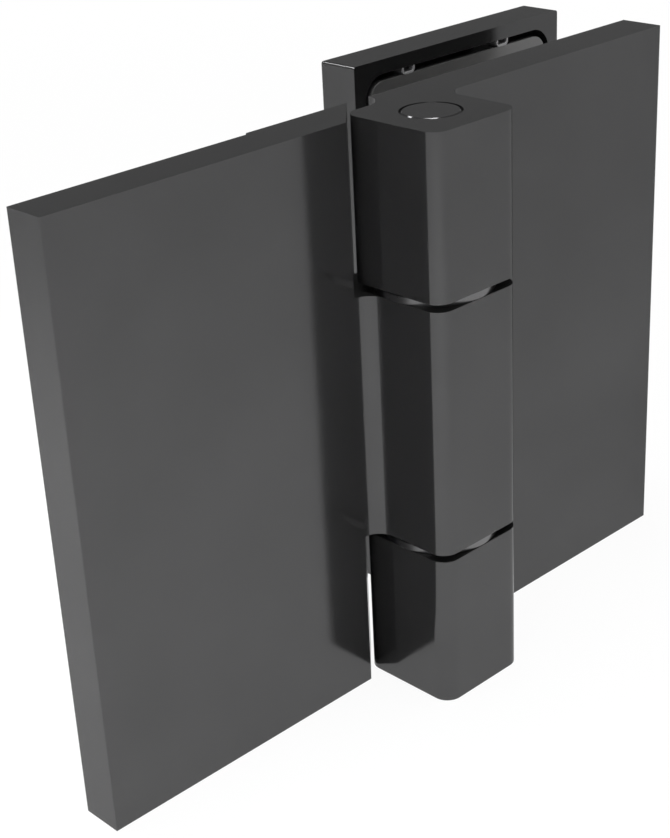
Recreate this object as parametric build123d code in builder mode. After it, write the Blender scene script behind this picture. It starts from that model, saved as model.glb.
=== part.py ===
"""Glass door hinge: a frame leaf and a glass leaf on one pin, with a clamp and a rear cover for the glass.

The origin is on the frame leaf's mounting face, midway between its two tapped holes. +X points to the
glass leaf, +Y points out of the mounting face and +Z points up, along the hinge pin.
"""
import os

from build123d import *

# Leaves
height = 80.0
frame_leaf_width = 45.0
glass_leaf_reach = 53.2
leaf_thickness = 6.5
leaf_skin = 1.0
mount_relief = 0.5
relief_width = 34.6

# Knuckles
knuckle_width = 15.2
knuckle_depth = 15.6
knuckle_corner = 2.3
knuckle_slot = 2.6
knuckle_gap = 1.0
outer_knuckle_height = 21.8
axis_offset = 4.5
root_past_axis = 0.2

# Pin, end caps and bushes
pin_diameter = 8.0
pin_edge = 0.5
fixed_fit = 0.02
running_fit = 0.04
cap_thickness = 2.0
cap_chamfer = 0.4
cap_stem_diameter = 4.0
cap_stem_length = 3.0
stem_hole_play = 0.4
bush_wall = 1.0
bush_length = 10.0
flange_inset = 0.05
flange_play = 0.05

# Grub screws that hold the pin
pin_screw_diameter = 4.0
pin_screw_recess = 0.2
pin_screw_socket = 2.0
pin_screw_socket_depth = 1.6
dog_diameter = 2.5
dog_length = 0.6
dog_play = 0.1

# Glass clamp
glass_thickness = 10.0
glass_play = 0.4
front_gasket_thickness = 2.0
front_gasket_inset = 2.5
front_gasket_corner = 3.0
rear_gasket_thickness = 1.0
clamp_plate_thickness = 3.5
screw_spacing = 44.0

# Rear cover
cover_start = 9.9
cover_side_wall = 2.0
cover_back_wall = 2.0
cover_play = 0.1
cover_edge_radius = 0.4
pocket_corner = 3.6
pad_gap = 1.0

# Clamp screws and their sleeves
clamp_screw_diameter = 6.0
clamp_screw_head = 12.0
clamp_screw_socket = 4.0
clamp_screw_socket_depth = 2.5
screw_hole_play = 0.2
head_play = 0.2
screw_end_play = 0.4
sleeve_wall = 3.8
sleeve_play = 0.2

# Tapped holes for the screws from the frame, at the tapping size of the thread
frame_tap_diameter = 5.0

# Spring clips in the groove round the clamp plate
clip_pitch = 20.0
clip_offset = 1.0
clip_width = 2.5
clip_strip = 0.3
clip_depth = 2.0
clip_bend = 0.45

# Hinge axis, seen from the origin
inner_edge = knuckle_width / 2 + knuckle_slot
axis_x = inner_edge + frame_leaf_width / 2
axis_y = -(leaf_thickness - mount_relief) - axis_offset

# Depths along Y, from the hinge axis backwards
leaf_front = axis_offset
leaf_back = leaf_front + leaf_thickness
glass_front = leaf_back + front_gasket_thickness
pad_front = glass_front + glass_thickness + glass_play
clamp_plate_front = pad_front + rear_gasket_thickness
clamp_plate_back = clamp_plate_front + clamp_plate_thickness
cover_inside = clamp_plate_back + cover_play
cover_back = cover_inside + cover_back_wall

# Heights along Z, from mid-height
top = height / 2
outer_knuckle_base = top - outer_knuckle_height
middle_knuckle_top = outer_knuckle_base - knuckle_gap
outer_knuckle_middle = (top + outer_knuckle_base) / 2

# Rear cover, its pocket and the pad inside it
cover_width = glass_leaf_reach - cover_start
cover_middle = (glass_leaf_reach + cover_start) / 2
pocket_width = cover_width - 2 * cover_side_wall
pocket_height = height - 2 * cover_side_wall
pad_width = pocket_width - 2 * pad_gap
pad_height = pocket_height - 2 * pad_gap
pad_corner = pocket_corner - pad_gap

# Screws into the glass leaf
screw_bite = leaf_thickness - leaf_skin - screw_end_play
clamp_screw_length = clamp_plate_back - leaf_back + screw_bite
sleeve_bore = clamp_screw_diameter + 2 * screw_hole_play
sleeve_diameter = sleeve_bore + 2 * sleeve_wall
sleeve_length = front_gasket_thickness + glass_thickness


def across(z):
    """Level plane through the hinge axis at height z."""
    return Plane((axis_x, axis_y, z))


def facing_back(x, y, z=0.0):
    """Upright plane that faces +Y, placed from the hinge axis, with its own Y axis along +Z."""
    return Plane((axis_x + x, axis_y + y, z), x_dir=(-1, 0, 0), z_dir=(0, 1, 0))


def knuckle_with_leaf(side, reach):
    """Section of a knuckle and the leaf that grows from it; side is 1 to the right, -1 to the left."""
    leaf_side = side * knuckle_width / 2
    far_side = -leaf_side
    front = -knuckle_depth / 2
    back = knuckle_depth / 2
    corner = side * knuckle_corner
    root = side * root_past_axis
    root_radius = leaf_back - back
    with BuildLine() as outline:
        Line((side * reach, leaf_front), (side * inner_edge, leaf_front))
        TangentArc((side * inner_edge, leaf_front), (leaf_side, leaf_front - knuckle_slot), tangent=(-side, 0))
        Line((leaf_side, leaf_front - knuckle_slot), (leaf_side, front + knuckle_corner))
        TangentArc((leaf_side, front + knuckle_corner), (leaf_side - corner, front), tangent=(0, -1))
        Line((leaf_side - corner, front), (far_side + corner, front))
        TangentArc((far_side + corner, front), (far_side, front + knuckle_corner), tangent=(-side, 0))
        Line((far_side, front + knuckle_corner), (far_side, back - knuckle_corner))
        TangentArc((far_side, back - knuckle_corner), (far_side + corner, back), tangent=(0, 1))
        Line((far_side + corner, back), (root - side * root_radius, back))
        TangentArc((root - side * root_radius, back), (root, leaf_back), tangent=(side, 0))
        Line((root, leaf_back), (side * reach, leaf_back))
        Line((side * reach, leaf_back), (side * reach, leaf_front))
    make_face(outline.edges())


def leaf_plate(side, reach):
    """Section of a leaf alone, its end cut at 45 degrees to clear the other leaf's turning knuckle."""
    with BuildLine() as outline:
        Polyline(
            (side * reach, leaf_front),
            (side * inner_edge, leaf_front),
            (side * (inner_edge - leaf_thickness), leaf_back),
            (side * reach, leaf_back),
            close=True,
        )
    make_face(outline.edges())


os.makedirs("parts", exist_ok=True)

# Frame leaf: plate, arm and middle knuckle in one casting
frame_leaf_reach = inner_edge + frame_leaf_width
with BuildPart() as frame_leaf:
    with BuildSketch(across(-top)):
        leaf_plate(-1, frame_leaf_reach)
    extrude(amount=height)
    with BuildSketch(across(-middle_knuckle_top)):
        knuckle_with_leaf(-1, frame_leaf_reach)
    extrude(amount=2 * middle_knuckle_top)
    # Shallow relief on the back, from the free end to the land beside the knuckle
    with BuildSketch(across(-top)):
        with Locations((relief_width / 2 - frame_leaf_reach, leaf_back - mount_relief / 2)):
            Rectangle(relief_width, mount_relief)
    extrude(amount=height, mode=Mode.SUBTRACT)
    # Bore for the two bushes
    with Locations(across(middle_knuckle_top)):
        Hole(radius=pin_diameter / 2 + running_fit + bush_wall + fixed_fit)
    # Blind tapped holes on the mounting face
    with Locations(facing_back(-axis_x, -axis_y)):
        with GridLocations(0, screw_spacing, 1, 2):
            Hole(radius=frame_tap_diameter / 2, depth=leaf_thickness - mount_relief - leaf_skin)
frame_leaf.part.label = "frame_leaf"
export_step(frame_leaf.part, "parts/frame_leaf.step")

# Glass leaf: plate with upper and lower knuckle in one casting
with BuildPart() as glass_leaf:
    with BuildSketch(across(-top)):
        leaf_plate(1, glass_leaf_reach)
    extrude(amount=height)
    for base in (-top, outer_knuckle_base):
        with BuildSketch(across(base)):
            knuckle_with_leaf(1, glass_leaf_reach)
        extrude(amount=outer_knuckle_height)
    # Bore for the pin and its end caps
    with Locations(across(top)):
        Hole(radius=pin_diameter / 2 + fixed_fit)
    # Tapped holes from the inner sides of the knuckles, for the grub screws
    for z in (-outer_knuckle_middle, outer_knuckle_middle):
        with BuildSketch(Plane((axis_x + knuckle_width / 2, axis_y, z), x_dir=(0, 1, 0), z_dir=(1, 0, 0))):
            Circle(pin_screw_diameter / 2 + fixed_fit)
        extrude(amount=-knuckle_width / 2, mode=Mode.SUBTRACT)
    # Blind tapped holes for the clamp screws
    with Locations(facing_back(cover_middle, leaf_back)):
        with GridLocations(0, screw_spacing, 1, 2):
            Hole(radius=clamp_screw_diameter / 2 + fixed_fit, depth=leaf_thickness - leaf_skin)
glass_leaf.part.label = "glass_leaf"
export_step(glass_leaf.part, "parts/glass_leaf.step")

# Hinge pin, with a hole in each end for a cap and a seat for each grub screw
pin_end = top - cap_thickness
with BuildPart() as hinge_pin:
    with BuildSketch(across(-pin_end)):
        Circle(pin_diameter / 2)
    extrude(amount=2 * pin_end)
    chamfer(hinge_pin.edges().filter_by(GeomType.CIRCLE), length=pin_edge)
    with Locations(across(pin_end), across(-pin_end).rotated((180, 0, 0))):
        Hole(radius=cap_stem_diameter / 2 + fixed_fit, depth=cap_stem_length + stem_hole_play)
    for z in (-outer_knuckle_middle, outer_knuckle_middle):
        with BuildSketch(Plane((axis_x + pin_diameter / 2, axis_y, z), x_dir=(0, 1, 0), z_dir=(1, 0, 0))):
            Circle(dog_diameter / 2 + dog_play)
        extrude(amount=-dog_length - dog_play, mode=Mode.SUBTRACT)
hinge_pin.part.label = "hinge_pin"
export_step(hinge_pin.part, "parts/hinge_pin.step")

# End caps, flush with the outer knuckles and finished like them
for name, end in (("pin_cap_top", 1), ("pin_cap_bottom", -1)):
    with BuildPart() as pin_cap:
        with BuildSketch(Plane((axis_x, axis_y, 0), x_dir=(1, 0, 0), z_dir=(0, -1, 0))):
            with BuildLine():
                Polyline(
                    (0, end * top),
                    (pin_diameter / 2 - cap_chamfer, end * top),
                    (pin_diameter / 2, end * (top - cap_chamfer)),
                    (pin_diameter / 2, end * pin_end),
                    (cap_stem_diameter / 2, end * pin_end),
                    (cap_stem_diameter / 2, end * (pin_end - cap_stem_length)),
                    (0, end * (pin_end - cap_stem_length)),
                    close=True,
                )
            make_face()
        revolve(axis=Axis((axis_x, axis_y, 0), (0, 0, 1)))
    pin_cap.part.label = name
    export_step(pin_cap.part, f"parts/{name}.step")

# Flanged bushes, pressed into the middle knuckle, their flanges filling the two gaps
bush_bore = pin_diameter / 2 + running_fit
bush_outside = bush_bore + bush_wall
flange_radius = knuckle_depth / 2 - flange_inset
flange_top = middle_knuckle_top + knuckle_gap - flange_play
for name, end in (("upper_bush", 1), ("lower_bush", -1)):
    with BuildPart() as bush:
        with BuildSketch(Plane((axis_x, axis_y, 0), x_dir=(1, 0, 0), z_dir=(0, -1, 0))):
            with BuildLine():
                Polyline(
                    (bush_bore, end * flange_top),
                    (flange_radius, end * flange_top),
                    (flange_radius, end * middle_knuckle_top),
                    (bush_outside, end * middle_knuckle_top),
                    (bush_outside, end * (middle_knuckle_top - bush_length)),
                    (bush_bore, end * (middle_knuckle_top - bush_length)),
                    close=True,
                )
            make_face()
        revolve(axis=Axis((axis_x, axis_y, 0), (0, 0, 1)))
    bush.part.label = name
    export_step(bush.part, f"parts/{name}.step")

# Grub screws with a dog point in the pin, sunk below the inner sides of the outer knuckles
screw_face = knuckle_width / 2 - pin_screw_recess
for name, z in (("pin_screw_upper", outer_knuckle_middle), ("pin_screw_lower", -outer_knuckle_middle)):
    with BuildPart() as pin_screw:
        with BuildSketch(across(z)):
            with BuildLine():
                Polyline(
                    (pin_diameter / 2 - dog_length, 0),
                    (pin_diameter / 2 - dog_length, dog_diameter / 2),
                    (pin_diameter / 2 + dog_play, dog_diameter / 2),
                    (pin_diameter / 2 + dog_play, pin_screw_diameter / 2),
                    (screw_face, pin_screw_diameter / 2),
                    (screw_face, 0),
                    close=True,
                )
            make_face()
        revolve(axis=Axis((axis_x, axis_y, z), (1, 0, 0)))
        with BuildSketch(Plane((axis_x + screw_face, axis_y, z), x_dir=(0, 1, 0), z_dir=(1, 0, 0))):
            RegularPolygon(radius=pin_screw_socket / 2, side_count=6, major_radius=False)
        extrude(amount=-pin_screw_socket_depth, mode=Mode.SUBTRACT)
    pin_screw.part.label = name
    export_step(pin_screw.part, f"parts/{name}.step")

# Front gasket on the back of the glass leaf, set in from the clamp's outline
with BuildPart() as front_gasket:
    with BuildSketch(facing_back(cover_middle, leaf_back)):
        RectangleRounded(
            cover_width - 2 * front_gasket_inset,
            height - 2 * front_gasket_inset,
            front_gasket_corner,
        )
        with GridLocations(0, screw_spacing, 1, 2):
            Circle(sleeve_diameter / 2 + sleeve_play, mode=Mode.SUBTRACT)
    extrude(amount=front_gasket_thickness)
front_gasket.part.label = "front_gasket"
export_step(front_gasket.part, "parts/front_gasket.step")

# Rear gasket, flush with the front of the cover
with BuildPart() as rear_gasket:
    with BuildSketch(facing_back(cover_middle, pad_front)):
        RectangleRounded(pad_width, pad_height, pad_corner)
        with GridLocations(0, screw_spacing, 1, 2):
            Circle(clamp_screw_diameter / 2 + screw_hole_play, mode=Mode.SUBTRACT)
    extrude(amount=rear_gasket_thickness)
rear_gasket.part.label = "rear_gasket"
export_step(rear_gasket.part, "parts/rear_gasket.step")

# Clamp plate, countersunk from behind
with BuildPart() as clamp_plate:
    with BuildSketch(facing_back(cover_middle, clamp_plate_front)):
        RectangleRounded(pad_width, pad_height, pad_corner)
    extrude(amount=clamp_plate_thickness)
    with Locations(facing_back(cover_middle, clamp_plate_back)):
        with GridLocations(0, screw_spacing, 1, 2):
            CounterSinkHole(
                radius=clamp_screw_diameter / 2 + screw_hole_play,
                counter_sink_radius=clamp_screw_head / 2 + head_play,
                counter_sink_angle=90,
            )
clamp_plate.part.label = "clamp_plate"
export_step(clamp_plate.part, "parts/clamp_plate.step")

# Rear cover: a shell, crisp in front and softened on its other edges, that snaps over the clamp plate
with BuildPart() as rear_cover:
    with BuildSketch(facing_back(cover_middle, pad_front)):
        Rectangle(cover_width, height)
    extrude(amount=cover_back - pad_front)
    back_edges = rear_cover.faces().sort_by(Axis.Y)[-1].edges()
    fillet(back_edges + rear_cover.edges().filter_by(Axis.Y), radius=cover_edge_radius)
    with BuildSketch(facing_back(cover_middle, pad_front)):
        RectangleRounded(pocket_width, pocket_height, pocket_corner)
    extrude(amount=cover_inside - pad_front, mode=Mode.SUBTRACT)
rear_cover.part.label = "rear_cover"
export_step(rear_cover.part, "parts/rear_cover.step")

# Countersunk clamp screws and the sleeves round them
head_height = (clamp_screw_head - clamp_screw_diameter) / 2
for name, z in (("upper", screw_spacing / 2), ("lower", -screw_spacing / 2)):
    screw_end = clamp_plate_back - clamp_screw_length
    with BuildPart() as clamp_screw:
        with BuildSketch(Plane((axis_x + cover_middle, axis_y, z))):
            with BuildLine():
                Polyline(
                    (0, clamp_plate_back),
                    (clamp_screw_head / 2, clamp_plate_back),
                    (clamp_screw_diameter / 2, clamp_plate_back - head_height),
                    (clamp_screw_diameter / 2, screw_end),
                    (0, screw_end),
                    close=True,
                )
            make_face()
        revolve(axis=Axis((axis_x + cover_middle, axis_y, z), (0, 1, 0)))
        with BuildSketch(facing_back(cover_middle, clamp_plate_back, z)):
            RegularPolygon(radius=clamp_screw_socket / 2, side_count=6, major_radius=False)
        extrude(amount=-clamp_screw_socket_depth, mode=Mode.SUBTRACT)
    clamp_screw.part.label = f"clamp_screw_{name}"
    export_step(clamp_screw.part, f"parts/clamp_screw_{name}.step")

    with BuildPart() as screw_sleeve:
        with BuildSketch(facing_back(cover_middle, leaf_back, z)):
            Circle(sleeve_diameter / 2)
            Circle(sleeve_bore / 2, mode=Mode.SUBTRACT)
        extrude(amount=sleeve_length)
    screw_sleeve.part.label = f"screw_sleeve_{name}"
    export_step(screw_sleeve.part, f"parts/screw_sleeve_{name}.step")

# Spring clips: strips bent to a U, flush with the cover's front, that bear on the clamp plate's edge
clip_leg = (clip_width - clip_strip) / 2
clip_middle = cover_middle - clip_offset
for level, up in (("top", 1), ("bottom", -1)):
    for hand, along in (("left", -1), ("right", 1)):
        clip_place = Plane(
            (axis_x + clip_middle + along * clip_pitch / 2, axis_y + pad_front, up * pad_height / 2),
            x_dir=(up, 0, 0),
            z_dir=(0, -1, 0),
        )
        with BuildPart() as cover_clip:
            with BuildSketch(clip_place):
                with BuildLine():
                    FilletPolyline(
                        (-clip_leg, pad_gap),
                        (-clip_leg, clip_strip / 2),
                        (clip_leg, clip_strip / 2),
                        (clip_leg, pad_gap),
                        radius=clip_bend,
                    )
                trace(line_width=clip_strip)
            extrude(amount=-clip_depth)
        cover_clip.part.label = f"cover_clip_{level}_{hand}"
        export_step(cover_clip.part, f"parts/cover_clip_{level}_{hand}.step")
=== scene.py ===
"""Glass door hinge, dressed: finishes, screw threads, floor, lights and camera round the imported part."""

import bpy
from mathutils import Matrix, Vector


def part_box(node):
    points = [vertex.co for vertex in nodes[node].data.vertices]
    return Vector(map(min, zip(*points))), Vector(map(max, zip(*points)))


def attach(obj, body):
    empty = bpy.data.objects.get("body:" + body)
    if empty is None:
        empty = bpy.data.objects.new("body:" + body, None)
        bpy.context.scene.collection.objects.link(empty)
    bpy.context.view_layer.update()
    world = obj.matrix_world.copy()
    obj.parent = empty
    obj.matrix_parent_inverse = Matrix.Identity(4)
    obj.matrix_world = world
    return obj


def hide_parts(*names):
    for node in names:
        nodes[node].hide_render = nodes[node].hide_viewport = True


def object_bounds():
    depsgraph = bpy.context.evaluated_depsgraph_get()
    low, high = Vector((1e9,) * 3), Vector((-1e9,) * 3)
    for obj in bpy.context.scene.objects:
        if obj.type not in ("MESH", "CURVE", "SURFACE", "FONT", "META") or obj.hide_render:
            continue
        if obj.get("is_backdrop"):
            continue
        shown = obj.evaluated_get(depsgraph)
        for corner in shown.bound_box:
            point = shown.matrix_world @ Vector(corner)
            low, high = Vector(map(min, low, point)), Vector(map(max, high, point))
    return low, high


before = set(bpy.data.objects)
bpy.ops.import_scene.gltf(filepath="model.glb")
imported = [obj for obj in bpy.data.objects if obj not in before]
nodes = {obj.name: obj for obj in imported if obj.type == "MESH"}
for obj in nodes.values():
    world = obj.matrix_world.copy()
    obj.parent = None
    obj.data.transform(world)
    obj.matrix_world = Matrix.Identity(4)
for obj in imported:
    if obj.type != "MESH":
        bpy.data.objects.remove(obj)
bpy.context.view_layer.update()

import math

import bpy
from bpy.props import FloatProperty, FloatVectorProperty, IntProperty, PointerProperty
from mathutils import Matrix, Vector

bl_info = {
    "name": "Glass Door Hinge",
    "version": (1, 0, 0),
    "blender": (4, 5, 0),
    "location": "3D View > Sidebar > Hinge",
    "description": "Finishes, screw threads, floor, lights and camera for a glass door hinge",
    "category": "Object",
}


# Node helpers


def link(tree, source, target):
    """Joins an output socket to an input socket."""
    tree.links.new(source, target)


def add_node(tree, kind, at, inputs=None, **settings):
    """A new node at that place, with its settings made and its named inputs filled or joined."""
    node = tree.nodes.new(kind)
    node.location = at
    for name, value in settings.items():
        setattr(node, name, value)
    for name, value in (inputs or {}).items():
        if isinstance(value, bpy.types.NodeSocket):
            link(tree, value, node.inputs[name])
        else:
            node.inputs[name].default_value = value
    return node


class Sums:
    """Makes the arithmetic nodes of a tree, row by row from a corner."""

    columns = 8
    step = (180, 200)

    def __init__(self, tree, corner):
        self.tree = tree
        self.corner = corner
        self.count = 0

    def __call__(self, operation, *terms):
        row, column = divmod(self.count, self.columns)
        at = (self.corner[0] + self.step[0] * column, self.corner[1] - self.step[1] * row)
        self.count += 1
        node = add_node(self.tree, "ShaderNodeMath", at, dict(enumerate(terms)), operation=operation)
        return node.outputs[0]


def map_range(tree, value, source, target, at, shape="LINEAR"):
    """The value, taken from the source range to the target range and held inside it."""
    limits = {"From Min": source[0], "From Max": source[1], "To Min": target[0], "To Max": target[1]}
    node = add_node(tree, "ShaderNodeMapRange", at, {"Value": value, **limits}, interpolation_type=shape)
    return node.outputs["Result"]


def seen_directly(tree, at):
    """1 on what the camera sees, straight or in a reflection or through glass, and 0 on what only lights."""
    path = add_node(tree, "ShaderNodeLightPath", at).outputs
    calc = Sums(tree, (at[0] + 200, at[1]))
    return calc("MAXIMUM", calc("MAXIMUM", path["Is Camera Ray"], path["Is Glossy Ray"]), path["Is Transmission Ray"])


# Finishes


# What most of a noise's values lie between, and the size of the clouds in a finish's colour
NOISE_RANGE = (0.3, 0.7)
CLOUD_SIZE = 0.012

# How far a finish's colour changes, as a share of itself, and its roughness
TONE_CHANGE = 0.04
ROUGHNESS_CHANGE = 0.03

# The look of a thread goes to a tapped hole's wall, a little outside its radius, and stops just above its floor.
# Its depth is a share of the pitch.
WALL_REACH = 1.02
FLOOR_REACH = 0.99
TAPPED_DEPTH = 0.6


def new_material(name):
    """An empty node material with a Principled shader, and where its surface pattern starts."""
    material = bpy.data.materials.new(name)
    material.use_nodes = True
    tree = material.node_tree
    tree.nodes.clear()
    shader = add_node(tree, "ShaderNodeBsdfPrincipled", (300, 0))
    add_node(tree, "ShaderNodeOutputMaterial", (600, 0), {"Surface": shader.outputs["BSDF"]})
    place = add_node(tree, "ShaderNodeTexCoord", (-900, 0)).outputs["Object"]
    return material, tree, shader, place


def noise(tree, place, size, detail, at):
    """A noise whose features are about size metres across."""
    node = add_node(tree, "ShaderNodeTexNoise", at, {"Scale": 1 / size, "Detail": detail, "Vector": place})
    return node.outputs["Fac"]


def two_tone(tree, value, colour, change, at):
    """The colour, lighter and darker by a share of itself as the noise value varies."""
    darker = [part * (1 - change) for part in colour] + [1]
    lighter = [min(1, part * (1 + change)) for part in colour] + [1]
    factor = map_range(tree, value, NOISE_RANGE, (0, 1), (at[0] - 200, at[1]))
    node = add_node(tree, "ShaderNodeMix", at, {"A": darker, "B": lighter, "Factor": factor}, data_type="RGBA")
    return node.outputs["Result"]


def finish_of(name, colour, metallic, roughness, grain, depth):
    """A material with a fine grain of that size and depth, and a colour and a gloss that vary a little over it."""
    material, tree, shader, place = new_material(name)
    cloud = noise(tree, place, size=CLOUD_SIZE, detail=3, at=(-700, 200))
    fine = noise(tree, place, size=grain, detail=4, at=(-700, -200))
    gloss = (roughness - ROUGHNESS_CHANGE, roughness + ROUGHNESS_CHANGE)
    relief = add_node(tree, "ShaderNodeBump", (0, -200), {"Distance": depth, "Height": fine})
    link(tree, two_tone(tree, cloud, colour, TONE_CHANGE, (0, 200)), shader.inputs["Base Color"])
    link(tree, map_range(tree, fine, NOISE_RANGE, gloss, (0, 0)), shader.inputs["Roughness"])
    link(tree, relief.outputs["Normal"], shader.inputs["Normal"])
    shader.inputs["Metallic"].default_value = metallic
    return material, shader


def tapped(material, height, radius, depth, pitch):
    """Adds the look of a thread to the walls of two blind holes along Y, at x 0 and that height up and down."""
    tree = material.node_tree
    shader = next(node for node in tree.nodes if node.type == "BSDF_PRINCIPLED")
    place = next(node for node in tree.nodes if node.type == "TEX_COORD").outputs["Object"]
    x, y, z = add_node(tree, "ShaderNodeSeparateXYZ", (-1100, -700), {0: place}).outputs
    calc = Sums(tree, (-900, -700))
    aside = calc("SUBTRACT", calc("ABSOLUTE", z), height)
    turn = calc("DIVIDE", calc("ARCTAN2", aside, x), math.tau)
    ridge = calc("PINGPONG", calc("ADD", calc("DIVIDE", y, pitch), turn), 0.5)
    from_axis = calc("SQRT", calc("ADD", calc("MULTIPLY", x, x), calc("MULTIPLY", aside, aside)))
    on_wall = calc("LESS_THAN", from_axis, radius * WALL_REACH)
    above_floor = calc("GREATER_THAN", y, -depth * FLOOR_REACH)
    thread = add_node(
        tree,
        "ShaderNodeBump",
        (0, -500),
        {
            "Distance": pitch * TAPPED_DEPTH,
            "Height": calc("MULTIPLY", ridge, calc("MULTIPLY", on_wall, above_floor)),
            "Normal": shader.inputs["Normal"].links[0].from_socket,
        },
    )
    link(tree, thread.outputs["Normal"], shader.inputs["Normal"])


def dress(material, *names):
    """Gives the CAD pieces of those names the material."""
    for name in names:
        mesh = nodes[name].data
        mesh.materials.clear()
        mesh.materials.append(material)


# Screws


SCREW_INPUTS = (
    ("Length", "NodeSocketFloat", 0.022),
    ("Thread Radius", "NodeSocketFloat", 0.003),
    ("Root Radius", "NodeSocketFloat", 0.00246),
    ("Pitch", "NodeSocketFloat", 0.001),
    ("Tip Length", "NodeSocketFloat", 0.0005),
    ("Tip Radius", "NodeSocketFloat", 0.0023),
    ("Head Height", "NodeSocketFloat", 0.003),
    ("Head Radius", "NodeSocketFloat", 0.006),
    ("Socket Width", "NodeSocketFloat", 0.004),
    ("Socket Depth", "NodeSocketFloat", 0.0025),
    ("Sides", "NodeSocketInt", 48),
    ("Rows a Turn", "NodeSocketInt", 8),
    ("Lower Tip", "NodeSocketVector", (0, 0, -0.022)),
    ("Upper Tip", "NodeSocketVector", (0, 0, 0.022)),
    ("Turn", "NodeSocketVector", (0, 0, 0)),
    ("Finish", "NodeSocketMaterial", None),
)

# Each pair's name, the CAD screws that it stands for, the axis that they lie along, how they are turned to it from
# Z, the setting that holds their pitch, and their sizes
SCREW_PAIRS = (
    (
        "clamp_screws",
        ("clamp_screw_lower", "clamp_screw_upper"),
        1,
        (-math.pi / 2, 0, 0),
        "clamp_pitch",
        {
            "Thread Radius": 0.003,
            "Tip Length": 0.0005,
            "Tip Radius": 0.0023,
            "Head Height": 0.003,
            "Head Radius": 0.006,
            "Socket Width": 0.004,
            "Socket Depth": 0.0025,
        },
    ),
    (
        "pin_screws",
        ("pin_screw_lower", "pin_screw_upper"),
        0,
        (0, math.pi / 2, 0),
        "pin_pitch",
        {
            "Thread Radius": 0.002,
            "Tip Length": 0.0007,
            "Tip Radius": 0.00125,
            "Head Height": 0.0,
            "Head Radius": 0.0,
            "Socket Width": 0.002,
            "Socket Depth": 0.0016,
        },
    ),
)

# Depth of a screw's thread as a share of its pitch
THREAD_DEPTH = 0.54

# How near the points along a seam lie to be joined, and from what angle an edge is crisp
SEAM_REACH = 0.000002
CRISP_EDGE = math.radians(30)


def threaded_shank(tree, size, calc):
    """A grid rolled round the axis into a threaded rod. Its first and last rows close the ends."""
    length = calc("SUBTRACT", calc("SUBTRACT", size["Length"], size["Head Height"]), size["Tip Length"])
    rows = calc("CEIL", calc("MULTIPLY", calc("DIVIDE", length, size["Pitch"]), size["Rows a Turn"]))
    last = calc("ADD", rows, 2)
    counts = {"Vertices X": calc("ADD", size["Sides"], 1), "Vertices Y": calc("ADD", last, 1)}
    grid = add_node(tree, "GeometryNodeMeshGrid", (-900, 300), {"Size X": 1.0, "Size Y": 1.0, **counts})
    position = add_node(tree, "GeometryNodeInputPosition", (-1100, 0)).outputs[0]
    flat = add_node(tree, "ShaderNodeSeparateXYZ", (-900, 0), {0: position}).outputs

    round_share = calc("ADD", flat["X"], 0.5)
    row = calc("ROUND", calc("MULTIPLY", calc("ADD", flat["Y"], 0.5), last))
    inner_row = calc("MINIMUM", calc("MAXIMUM", calc("SUBTRACT", row, 1), 0), rows)
    along = calc("MULTIPLY", inner_row, calc("DIVIDE", length, rows))
    winding = calc("SUBTRACT", calc("DIVIDE", along, size["Pitch"]), round_share)
    flank = calc("MULTIPLY", calc("PINGPONG", winding, 0.5), 2)
    height = calc("MULTIPLY", flank, calc("SUBTRACT", size["Thread Radius"], size["Root Radius"]))
    from_ends = calc("MINIMUM", along, calc("SUBTRACT", length, along))
    radius = calc("ADD", size["Root Radius"], calc("MINIMUM", height, from_ends))
    before_last = calc("LESS_THAN", row, calc("SUBTRACT", last, 0.5))
    reach = calc("MULTIPLY", radius, calc("MULTIPLY", calc("GREATER_THAN", row, 0.5), before_last))

    angle = calc("MULTIPLY", round_share, math.tau)
    rolled = add_node(
        tree,
        "ShaderNodeCombineXYZ",
        (0, -300),
        {
            "X": calc("MULTIPLY", reach, calc("COSINE", angle)),
            "Y": calc("MULTIPLY", reach, calc("SINE", angle)),
            "Z": calc("ADD", along, size["Tip Length"]),
        },
    )
    shank = add_node(
        tree,
        "GeometryNodeSetPosition",
        (200, 300),
        {"Geometry": grid.outputs["Mesh"], "Position": rolled.outputs[0]},
    )
    merged = add_node(
        tree, "GeometryNodeMergeByDistance", (400, 300), {"Geometry": shank.outputs[0], "Distance": SEAM_REACH}
    )
    return merged.outputs[0]


def raised(tree, geometry, height, at):
    """The geometry, moved up the axis by that height."""
    shift = add_node(tree, "ShaderNodeCombineXYZ", (at[0] - 200, at[1] - 300), {"Z": height}).outputs[0]
    node = add_node(tree, "GeometryNodeTransform", at, {"Geometry": geometry, "Translation": shift})
    return node.outputs[0]


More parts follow.
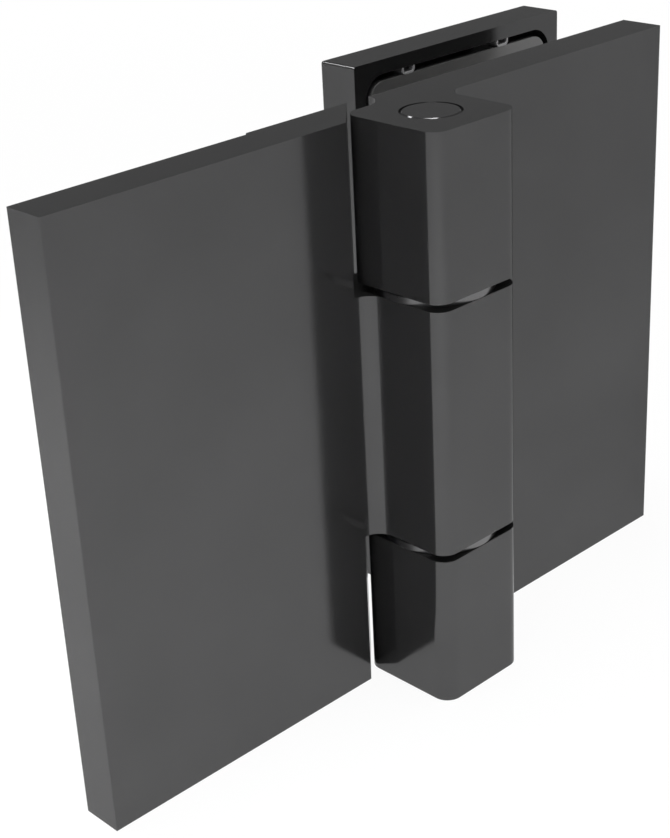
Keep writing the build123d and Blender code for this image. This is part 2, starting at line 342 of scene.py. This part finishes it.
def headed_shank(tree, size, calc, shank):
    """The shank and its cone head with the key's socket cut in it, or a headless shank with the socket in its end."""
    key = add_node(
        tree,
        "GeometryNodeMeshCylinder",
        (0, -600),
        {
            "Vertices": 6,
            "Radius": calc("DIVIDE", size["Socket Width"], math.sqrt(3)),
            "Depth": calc("MULTIPLY", size["Socket Depth"], 2),
        },
    )
    key = raised(tree, key.outputs["Mesh"], size["Length"], (200, -600))
    cone = add_node(
        tree,
        "GeometryNodeMeshCone",
        (0, 0),
        {
            "Vertices": size["Sides"],
            "Radius Top": size["Head Radius"],
            "Radius Bottom": size["Thread Radius"],
            "Depth": size["Head Height"],
        },
    )
    head = raised(tree, cone.outputs["Mesh"], calc("SUBTRACT", size["Length"], size["Head Height"]), (400, 0))
    cut = []
    for whole, at in ((shank, (600, 200)), (head, (600, -100))):
        inputs = {"Mesh 1": whole, "Mesh 2": key}
        cut.append(add_node(tree, "GeometryNodeMeshBoolean", at, inputs, operation="DIFFERENCE", solver="EXACT"))
    cut_shank, cut_head = (node.outputs[0] for node in cut)
    whole = add_node(tree, "GeometryNodeJoinGeometry", (800, 0))
    link(tree, cut_head, whole.inputs[0])
    link(tree, shank, whole.inputs[0])
    choice = {"Switch": calc("GREATER_THAN", size["Head Height"], 0), "False": cut_shank, "True": whole.outputs[0]}
    return add_node(tree, "GeometryNodeSwitch", (1000, 100), choice, input_type="GEOMETRY").outputs[0]


def plain_tip(tree, size, calc):
    """A plain pin below the thread, which reaches half a turn into it."""
    depth = calc("ADD", size["Tip Length"], calc("MULTIPLY", size["Pitch"], 0.5))
    inputs = {"Vertices": size["Sides"], "Radius": size["Tip Radius"], "Depth": depth}
    pin = add_node(tree, "GeometryNodeMeshCylinder", (800, -400), inputs)
    return raised(tree, pin.outputs["Mesh"], calc("DIVIDE", depth, 2), (1000, -400))


def screw_tree():
    """The node tree that makes a pair of socket screws, each turned alike and with its tip at its own place."""
    tree = bpy.data.node_groups.new("socket_screws", "GeometryNodeTree")
    tree.interface.new_socket("Screws", in_out="OUTPUT", socket_type="NodeSocketGeometry")
    for name, kind, value in SCREW_INPUTS:
        socket = tree.interface.new_socket(name, in_out="INPUT", socket_type=kind)
        if value is not None:
            socket.default_value = value
    size = add_node(tree, "NodeGroupInput", (-1800, 0)).outputs
    calc = Sums(tree, (-1500, -900))
    body = headed_shank(tree, size, calc, threaded_shank(tree, size, calc))
    screw = add_node(tree, "GeometryNodeJoinGeometry", (1200, 0))
    link(tree, body, screw.inputs[0])
    link(tree, plain_tip(tree, size, calc), screw.inputs[0])

    ends = {0: size["Upper Tip"], 1: size["Lower Tip"]}
    step = add_node(tree, "ShaderNodeVectorMath", (800, 500), ends, operation="SUBTRACT").outputs[0]
    line = {"Count": 2, "Start Location": size["Lower Tip"], "Offset": step}
    tips = add_node(tree, "GeometryNodeMeshLine", (1000, 500), line).outputs["Mesh"]
    turn = add_node(tree, "FunctionNodeEulerToRotation", (1000, 300), {0: size["Turn"]}).outputs[0]
    copies = {"Points": tips, "Instance": screw.outputs[0], "Rotation": turn}
    placed = add_node(tree, "GeometryNodeInstanceOnPoints", (1400, 300), copies).outputs[0]
    solid = add_node(tree, "GeometryNodeRealizeInstances", (1600, 300), {"Geometry": placed}).outputs[0]

    bend = add_node(tree, "GeometryNodeInputMeshEdgeAngle", (1600, 0)).outputs["Unsigned Angle"]
    crisp = add_node(tree, "FunctionNodeCompare", (1800, 0), {0: bend, 1: CRISP_EDGE}, operation="GREATER_THAN")
    smooth = {"Geometry": solid, "Shade Smooth": True}
    smooth = add_node(tree, "GeometryNodeSetShadeSmooth", (1800, 300), smooth).outputs[0]
    edged = {"Geometry": smooth, "Selection": crisp.outputs[0], "Shade Smooth": False}
    edged = add_node(tree, "GeometryNodeSetShadeSmooth", (2000, 300), edged, domain="EDGE").outputs[0]
    painted = {"Geometry": edged, "Material": size["Finish"]}
    painted = add_node(tree, "GeometryNodeSetMaterial", (2200, 300), painted).outputs[0]
    add_node(tree, "NodeGroupOutput", (2400, 300), {"Screws": painted})
    return tree


def screw_pair(name, tree, sizes, stands_for):
    """The two like screws as one plain mesh that takes the place of the CAD screws."""
    screws = bpy.data.objects.new(name, bpy.data.meshes.new(name))
    bpy.context.scene.collection.objects.link(screws)
    modifier = screws.modifiers.new("screws", "NODES")
    modifier.node_group = tree
    for socket in tree.interface.items_tree:
        if socket.in_out == "INPUT" and socket.name in sizes:
            modifier[socket.identifier] = sizes[socket.name]
    made = screws.evaluated_get(bpy.context.evaluated_depsgraph_get())
    mesh = bpy.data.meshes.new_from_object(made)
    screws.modifiers.clear()
    screws.data = mesh
    mesh.name = name
    if not mesh.polygons:
        raise RuntimeError(f"{name} came out empty")
    mesh.materials.clear()
    mesh.materials.append(sizes["Finish"])
    mesh.polygons.foreach_set("material_index", [0] * len(mesh.polygons))
    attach(screws, "glass_side")
    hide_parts(*stands_for)


def tip_of(part, axis):
    """Where a CAD screw that points down that axis has its tip, and the screw's length."""
    low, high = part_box(part)
    tip = (low + high) / 2
    tip[axis] = low[axis]
    return tip, high[axis] - low[axis]


# Settings


class HingeCastings(bpy.types.PropertyGroup):
    """The satin finish of the leaves, the rear cover and the pin caps."""

    colour: FloatVectorProperty(
        name="Colour",
        description="Colour of the plated finish",
        subtype="COLOR",
        size=3,
        min=0,
        max=1,
        default=(0.093, 0.093, 0.094),
    )
    edge_tint: FloatProperty(
        name="Edge Tint",
        description="How bright the finish mirrors at a low angle, where 1 is fully",
        subtype="FACTOR",
        min=0,
        max=1,
        default=0.85,
    )
    metallic: FloatProperty(
        name="Metallic",
        description="How far the plating covers the dark ground under it",
        subtype="FACTOR",
        min=0,
        max=1,
        default=0.8,
    )
    roughness: FloatProperty(
        name="Roughness",
        description="Roughness of the satin finish",
        subtype="FACTOR",
        min=0,
        max=1,
        default=0.135,
    )
    grain: FloatProperty(
        name="Grain",
        description="Size of the blasted grain under the plating",
        unit="LENGTH",
        subtype="DISTANCE",
        min=0.00005,
        max=0.005,
        precision=5,
        default=0.0004,
    )
    tap_pitch: FloatProperty(
        name="Tapped Pitch",
        description="Distance between the threads of the frame leaf's tapped holes",
        unit="LENGTH",
        subtype="DISTANCE",
        min=0.0002,
        max=0.002,
        precision=5,
        default=0.001,
    )


class HingeSteel(bpy.types.PropertyGroup):
    """The bare steel of the pin, the clamp plate and the clips."""

    pin_colour: FloatVectorProperty(
        name="Pin Colour",
        description="Colour of the ground pin",
        subtype="COLOR",
        size=3,
        min=0,
        max=1,
        default=(0.5, 0.5, 0.51),
    )
    pin_roughness: FloatProperty(
        name="Pin Roughness",
        description="Roughness of the ground pin",
        subtype="FACTOR",
        min=0,
        max=1,
        default=0.12,
    )
    plate_colour: FloatVectorProperty(
        name="Plate Colour",
        description="Colour of the clamp plate",
        subtype="COLOR",
        size=3,
        min=0,
        max=1,
        default=(0.45, 0.45, 0.46),
    )
    plate_roughness: FloatProperty(
        name="Plate Roughness",
        description="Roughness of the clamp plate",
        subtype="FACTOR",
        min=0,
        max=1,
        default=0.3,
    )
    clip_colour: FloatVectorProperty(
        name="Clip Colour",
        description="Colour of the spring clips",
        subtype="COLOR",
        size=3,
        min=0,
        max=1,
        default=(0.6, 0.6, 0.61),
    )
    clip_roughness: FloatProperty(
        name="Clip Roughness",
        description="Roughness of the spring clips",
        subtype="FACTOR",
        min=0,
        max=1,
        default=0.5,
    )


class HingeScrews(bpy.types.PropertyGroup):
    """The finish and the threads of the clamp screws and of the pin's locking screws."""

    colour: FloatVectorProperty(
        name="Colour",
        description="Colour of the blackened screws",
        subtype="COLOR",
        size=3,
        min=0,
        max=1,
        default=(0.12, 0.12, 0.12),
    )
    roughness: FloatProperty(
        name="Roughness",
        description="Roughness of the blackened screws",
        subtype="FACTOR",
        min=0,
        max=1,
        default=0.35,
    )
    clamp_pitch: FloatProperty(
        name="Clamp Pitch",
        description="Distance between the threads of the clamp screws",
        unit="LENGTH",
        subtype="DISTANCE",
        min=0.0002,
        max=0.002,
        precision=5,
        default=0.001,
    )
    pin_pitch: FloatProperty(
        name="Pin Screw Pitch",
        description="Distance between the threads of the screws that lock the pin",
        unit="LENGTH",
        subtype="DISTANCE",
        min=0.0002,
        max=0.002,
        precision=5,
        default=0.0007,
    )
    sides: IntProperty(
        name="Sides",
        description="Number of faces round each screw",
        min=12,
        max=128,
        default=48,
    )


class HingeSoftParts(bpy.types.PropertyGroup):
    """The bushes, sleeves and gaskets."""

    bush_colour: FloatVectorProperty(
        name="Bush Colour",
        description="Colour of the flanged bushes",
        subtype="COLOR",
        size=3,
        min=0,
        max=1,
        default=(0.185, 0.185, 0.187),
    )
    gasket_colour: FloatVectorProperty(
        name="Gasket Colour",
        description="Colour of the rubber in front of the glass",
        subtype="COLOR",
        size=3,
        min=0,
        max=1,
        default=(0.03, 0.03, 0.031),
    )
    pad_colour: FloatVectorProperty(
        name="Pad Colour",
        description="Colour of the rubber behind the glass",
        subtype="COLOR",
        size=3,
        min=0,
        max=1,
        default=(0.155, 0.155, 0.155),
    )
    sleeve_colour: FloatVectorProperty(
        name="Sleeve Colour",
        description="Colour of the sleeves round the clamp screws",
        subtype="COLOR",
        size=3,
        min=0,
        max=1,
        default=(0.75, 0.74, 0.7),
    )


class HingeStage(bpy.types.PropertyGroup):
    """The floor, the lights and the surroundings."""

    surroundings: FloatProperty(
        name="Surroundings",
        description="Strength of the even light from all sides",
        min=0,
        max=5,
        default=0.148,
    )
    floor_shade: FloatProperty(
        name="Floor Shade",
        description="Share of the floor's brightness that the lights give it, which the shadow takes away",
        subtype="FACTOR",
        min=0,
        max=1,
        default=0.07,
    )
    shade_reach: FloatProperty(
        name="Shade Reach",
        description="Distance from the hinge at which the floor no longer takes shade from the lights",
        unit="LENGTH",
        subtype="DISTANCE",
        min=0.1,
        max=3,
        default=0.5,
    )
    # Painted pool of light: in a reflection the floor glows white by the hinge and fades to this brightness farther
    # off.
    painted_pool_falloff: FloatProperty(
        name="Far Floor",
        description="How bright the floor away from the hinge is in a reflection, where 1 is white",
        subtype="FACTOR",
        min=0,
        max=1,
        default=0.76,
    )
    # Painted shadow: how far the floor's glow in reflections is darkened beyond the glass leaf.
    painted_side_shadow: FloatProperty(
        name="Side Shade",
        description="How much darker the floor beyond the glass leaf is in a reflection",
        subtype="FACTOR",
        min=0,
        max=1,
        default=0.75,
    )


# Pieces


# How far the frame leaf's tapped holes lie up and down from the middle, and their radius and depth
TAP_HEIGHT = 0.022
TAP_RADIUS = 0.0025
TAP_DEPTH = 0.005


class HINGE_OT_castings(bpy.types.Operator):
    """Gives the leaves, the cover and the pin caps their satin finish"""

    bl_idname = "hinge.castings"
    bl_label = "Castings"

    def execute(self, context):
        settings = context.scene.hinge_castings
        plating, shader = finish_of(
            "satin_plating",
            settings.colour,
            metallic=settings.metallic,
            roughness=settings.roughness,
            grain=settings.grain,
            depth=0.0000008,
        )
        shader.inputs["Specular Tint"].default_value = [settings.edge_tint] * 3 + [1]
        shader.inputs["Specular IOR Level"].default_value = 0
        dress(plating, "glass_leaf", "rear_cover", "pin_cap_top", "pin_cap_bottom")
        with_taps = plating.copy()
        with_taps.name = "satin_plating_tapped"
        tapped(with_taps, TAP_HEIGHT, TAP_RADIUS, TAP_DEPTH, settings.tap_pitch)
        dress(with_taps, "frame_leaf")
        return {"FINISHED"}


class HINGE_OT_steel(bpy.types.Operator):
    """Gives the pin, the clamp plate and the clips their steel finishes"""

    bl_idname = "hinge.steel"
    bl_label = "Steel Parts"

    def execute(self, context):
        settings = context.scene.hinge_steel
        pin, _ = finish_of(
            "ground_pin_steel",
            settings.pin_colour,
            metallic=1.0,
            roughness=settings.pin_roughness,
            grain=0.0003,
            depth=0.0000005,
        )
        dress(pin, "hinge_pin")
        plate, _ = finish_of(
            "clamp_plate_steel",
            settings.plate_colour,
            metallic=1.0,
            roughness=settings.plate_roughness,
            grain=0.0005,
            depth=0.000002,
        )
        dress(plate, "clamp_plate")
        clip, _ = finish_of(
            "spring_clip_steel",
            settings.clip_colour,
            metallic=0.35,
            roughness=settings.clip_roughness,
            grain=0.0002,
            depth=0.0000005,
        )
        dress(clip, *(f"cover_clip_{level}_{hand}" for level in ("top", "bottom") for hand in ("left", "right")))
        return {"FINISHED"}


class HINGE_OT_screws(bpy.types.Operator):
    """Makes the clamp screws and the pin's locking screws with real threads"""

    bl_idname = "hinge.screws"
    bl_label = "Screws"

    def execute(self, context):
        settings = context.scene.hinge_screws
        finish, _ = finish_of(
            "blackened_screw_steel",
            settings.colour,
            metallic=1.0,
            roughness=settings.roughness,
            grain=0.0002,
            depth=0.000001,
        )
        tree = screw_tree()
        for name, parts, axis, turn, pitch_setting, sizes in SCREW_PAIRS:
            dress(finish, *parts)
            (lower_tip, _), (upper_tip, length) = (tip_of(part, axis) for part in parts)
            pitch = getattr(settings, pitch_setting)
            made = {
                **sizes,
                "Pitch": pitch,
                "Root Radius": sizes["Thread Radius"] - THREAD_DEPTH * pitch,
                "Length": length,
                "Sides": settings.sides,
                "Lower Tip": lower_tip,
                "Upper Tip": upper_tip,
                "Turn": turn,
                "Finish": finish,
            }
            screw_pair(name, tree, made, parts)
        return {"FINISHED"}


class HINGE_OT_soft_parts(bpy.types.Operator):
    """Gives the bushes, the sleeves and the gaskets their finishes"""

    bl_idname = "hinge.soft_parts"
    bl_label = "Bushes, Sleeves and Gaskets"

    def execute(self, context):
        settings = context.scene.hinge_soft_parts
        bush, _ = finish_of(
            "turned_bush_steel", settings.bush_colour, metallic=1.0, roughness=0.3, grain=0.0003, depth=0.0000005
        )
        dress(bush, "upper_bush", "lower_bush")
        sleeve, _ = finish_of(
            "moulded_sleeve_plastic", settings.sleeve_colour, metallic=0.0, roughness=0.4, grain=0.0004, depth=0.000002
        )
        dress(sleeve, "screw_sleeve_upper", "screw_sleeve_lower")
        gasket, _ = finish_of(
            "moulded_gasket_rubber", settings.gasket_colour, metallic=0.0, roughness=0.6, grain=0.0003, depth=0.00001
        )
        dress(gasket, "front_gasket")
        pad, shader = finish_of(
            "moulded_pad_rubber", settings.pad_colour, metallic=0.0, roughness=0.22, grain=0.0003, depth=0.000002
        )
        shader.inputs["Specular IOR Level"].default_value = 1.0
        dress(pad, "rear_gasket")
        return {"FINISHED"}


# Stage


# The heights, in a view's direction, between which the white over the horizon turns to grey
HORIZON_BAND = (math.sin(math.radians(3)), math.sin(math.radians(7.5)))

FLOOR_HALF_WIDTH = 20.0
FLOOR_CLEARANCE = 0.00005
FLOOR_COLOUR = (0.86, 0.86, 0.86)

# The distances from the hinge between which a reflection of the floor gets darker, which paints a pool of light round
# the hinge, and the places along X and Y between which a painted shadow darkens it beyond the glass leaf, the darkest
# that the hinge mirrors
PAINTED_LIGHT_POOL_REACH = (0.045, 0.24)
PAINTED_SHADOW_SPAN = {"X": (0.08, 0.16), "Y": (-0.045, 0.0)}

# Each lamp's name, place, target, size and power
LAMPS = (
    ("key_light", (-1.5, -0.4, 1.1), (0.03, 0, 0), (0.8, 0.8), 2),
    ("top_light", (0.05, -0.05, 0.9), (0.03, 0, 0), (0.5, 0.5), 8.2),
    ("back_light", (-0.331, 0.781, 0.849), (0.0, 0, 0), (0.4, 0.16), 3),
)

# The lamps that shine straight down on the floor beside the hinge: name, place, power and spread in degrees
FLOOR_LAMPS = (
    ("floor_light_front", (-0.09, -0.16), 0.44, 70),
    ("floor_light_back", (-0.06, 0.1), 0.36, 50),
)
FLOOR_LAMP_HEIGHT = 0.22
FLOOR_LAMP_SIZE = (0.1, 0.1)

CAMERA_PLACE = (-0.116812, -0.151008, 0.095184)
CAMERA_RIGHT = Vector((0.7158476, -0.696647, -0.04738323))
CAMERA_UP = Vector((0.3279312, 0.27550769, 0.90363524))
CAMERA_AHEAD = Vector((0.61646034, 0.66240355, -0.4256738))
CAMERA_LENS = 73.13


def make_world(scene, strength):
    """Even light from all sides. Where it is seen, it is white just above the horizon, and its own grey over that."""
    world = bpy.data.worlds.new("surroundings")
    world.use_nodes = True
    scene.world = world
    tree = world.node_tree
    tree.nodes.clear()
    way = add_node(tree, "ShaderNodeTexCoord", (-1200, 0)).outputs["Generated"]
    height = add_node(tree, "ShaderNodeSeparateXYZ", (-1000, 0), {0: way}).outputs["Z"]
    band = map_range(tree, height, HORIZON_BAND, (1.0, strength), (-800, 0), "SMOOTHSTEP")
    inputs = {"A": strength, "B": band, "Factor": seen_directly(tree, (-1000, -300))}
    pick = add_node(tree, "ShaderNodeMix", (-300, 0), inputs).outputs["Result"]
    light = add_node(tree, "ShaderNodeBackground", (0, 0), {"Color": (1, 1, 1, 1), "Strength": pick})
    add_node(tree, "ShaderNodeOutputWorld", (400, 0), {"Surface": light.outputs[0]})


def floor_material(settings):
    """A pale floor that is white to the camera. In a reflection its glow is a painted pool of light, darker away from
    the hinge, with a painted shadow beyond the glass leaf.
    """
    material, tree, shader, place = new_material("pale_floor")
    fine = noise(tree, place, size=0.004, detail=3, at=(-700, -200))
    link(tree, two_tone(tree, fine, FLOOR_COLOUR, change=0.01, at=(0, 200)), shader.inputs["Base Color"])
    shader.inputs["Roughness"].default_value = 0.9
    shader.inputs["Specular IOR Level"].default_value = 0.0

    calc = Sums(tree, (-300, -1500))
    away = add_node(tree, "ShaderNodeVectorMath", (-500, -800), {0: place}, operation="LENGTH").outputs["Value"]
    reach = (settings.shade_reach / 2, settings.shade_reach)
    plain = map_range(tree, away, reach, (1 - settings.floor_shade, 1.0), (-300, -800), "SMOOTHSTEP")
    # Painted pool of light: the floor's glow in reflections falls from 1 by the hinge to the far value away from it.
    painted_light_pool = map_range(tree, away, PAINTED_LIGHT_POOL_REACH, (1.0, settings.painted_pool_falloff), (-300, -1100))
    # Painted shadow: a mask along X and Y beyond the glass leaf, which darkens the floor's glow in reflections.
    split = add_node(tree, "ShaderNodeSeparateXYZ", (-700, -1500), {0: place}).outputs
    beyond = [
        map_range(tree, split[axis], limits, (0, 1), (-500, -1500 - 300 * row))
        for row, (axis, limits) in enumerate(PAINTED_SHADOW_SPAN.items())
    ]
    side = calc("SUBTRACT", 1, calc("MULTIPLY", settings.painted_side_shadow, calc("MULTIPLY", *beyond)))
    to_camera = add_node(tree, "ShaderNodeLightPath", (-300, -1300)).outputs["Is Camera Ray"]
    # White to the camera; in reflections the glow carries the painted pool of light and the painted shadow.
    strength = calc("MAXIMUM", to_camera, calc("MULTIPLY", side, painted_light_pool))
    glow = add_node(tree, "ShaderNodeEmission", (300, -400), {"Strength": strength}).outputs[0]
    share = calc("MULTIPLY", seen_directly(tree, (-500, -500)), plain)
    mix = add_node(tree, "ShaderNodeMixShader", (500, -200), {"Fac": share, 1: shader.outputs[0], 2: glow})
    output = next(node for node in tree.nodes if node.type == "OUTPUT_MATERIAL")
    output.location = (700, 0)
    link(tree, mix.outputs[0], output.inputs["Surface"])
    return material


def make_floor(scene, settings, level):
    """The floor that the hinge stands on, just under that level."""
    mesh = bpy.data.meshes.new("floor")
    half = FLOOR_HALF_WIDTH
    corners = [(-half, -half), (half, -half), (half, half), (-half, half)]
    mesh.from_pydata([(x, y, level - FLOOR_CLEARANCE) for x, y in corners], [], [(0, 1, 2, 3)])
    mesh.materials.append(floor_material(settings))
    floor = bpy.data.objects.new("floor", mesh)
    scene.collection.objects.link(floor)
    floor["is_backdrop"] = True


def area_light(name, place, target, size, power):
    """A soft rectangular light at place, turned to target."""
    data = bpy.data.lights.new(name, "AREA")
    data.shape = "RECTANGLE"
    data.size, data.size_y = size
    data.energy = power
    light = bpy.data.objects.new(name, data)
    light.location = place
    light.rotation_euler = (Vector(target) - Vector(place)).to_track_quat("-Z", "Y").to_euler()
    bpy.context.scene.collection.objects.link(light)
    return data


def make_lamps(level):
    """The soft lamps round the hinge, and those that light the floor at that level."""
    for name, place, target, size, power in LAMPS:
        area_light(name, place, target, size, power)
    for name, place, power, spread in FLOOR_LAMPS:
        lamp = area_light(name, (*place, FLOOR_LAMP_HEIGHT), (*place, level), FLOOR_LAMP_SIZE, power)
        lamp.spread = math.radians(spread)


def make_camera(scene):
    """The camera, at the photograph's place and angle."""
    data = bpy.data.cameras.new("camera")
    data.sensor_width = 36
    data.lens = CAMERA_LENS
    data.clip_start = 0.01
    data.clip_end = 20
    camera = bpy.data.objects.new("camera", data)
    turn = Matrix((CAMERA_RIGHT, CAMERA_UP, -CAMERA_AHEAD)).transposed()
    camera.matrix_world = Matrix.Translation(CAMERA_PLACE) @ turn.to_4x4()
    scene.collection.objects.link(camera)
    scene.camera = camera


class HINGE_OT_stage(bpy.types.Operator):
    """Sets the floor, the lights, the surroundings and the camera"""

    bl_idname = "hinge.stage"
    bl_label = "Floor, Lights and Camera"

    def execute(self, context):
        settings = context.scene.hinge_stage
        scene = context.scene
        scene.view_settings.view_transform = "Standard"
        lowest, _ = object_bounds()
        make_world(scene, settings.surroundings)
        make_floor(scene, settings, lowest.z)
        make_lamps(lowest.z)
        make_camera(scene)
        return {"FINISHED"}


# Panel and registration


class HINGE_PT_panel(bpy.types.Panel):
    """The hinge's settings and steps, in the 3D view's sidebar"""

    bl_idname = "HINGE_PT_panel"
    bl_label = "Glass Door Hinge"
    bl_space_type = "VIEW_3D"
    bl_region_type = "UI"
    bl_category = "Hinge"

    def draw(self, context):
        for holder, _, operator in STEPS:
            box = self.layout.box()
            group = getattr(context.scene, holder)
            for name in group.__annotations__:
                box.prop(group, name)
            box.operator(operator.bl_idname)


STEPS = (
    ("hinge_castings", HingeCastings, HINGE_OT_castings),
    ("hinge_steel", HingeSteel, HINGE_OT_steel),
    ("hinge_screws", HingeScrews, HINGE_OT_screws),
    ("hinge_soft_parts", HingeSoftParts, HINGE_OT_soft_parts),
    ("hinge_stage", HingeStage, HINGE_OT_stage),
)

CLASSES = tuple(group for _, group, _ in STEPS) + tuple(operator for _, _, operator in STEPS) + (HINGE_PT_panel,)


def register():
    for cls in CLASSES:
        bpy.utils.register_class(cls)
    for name, group, _ in STEPS:
        setattr(bpy.types.Scene, name, PointerProperty(type=group))


def unregister():
    for name, _, _ in reversed(STEPS):
        delattr(bpy.types.Scene, name)
    for cls in reversed(CLASSES):
        bpy.utils.unregister_class(cls)


def main():
    """Dresses the hinge and sets the stage."""
    register()
    bpy.ops.hinge.castings()
    bpy.ops.hinge.steel()
    bpy.ops.hinge.screws()
    bpy.ops.hinge.soft_parts()
    bpy.ops.hinge.stage()


if __name__ == "__main__":
    main()
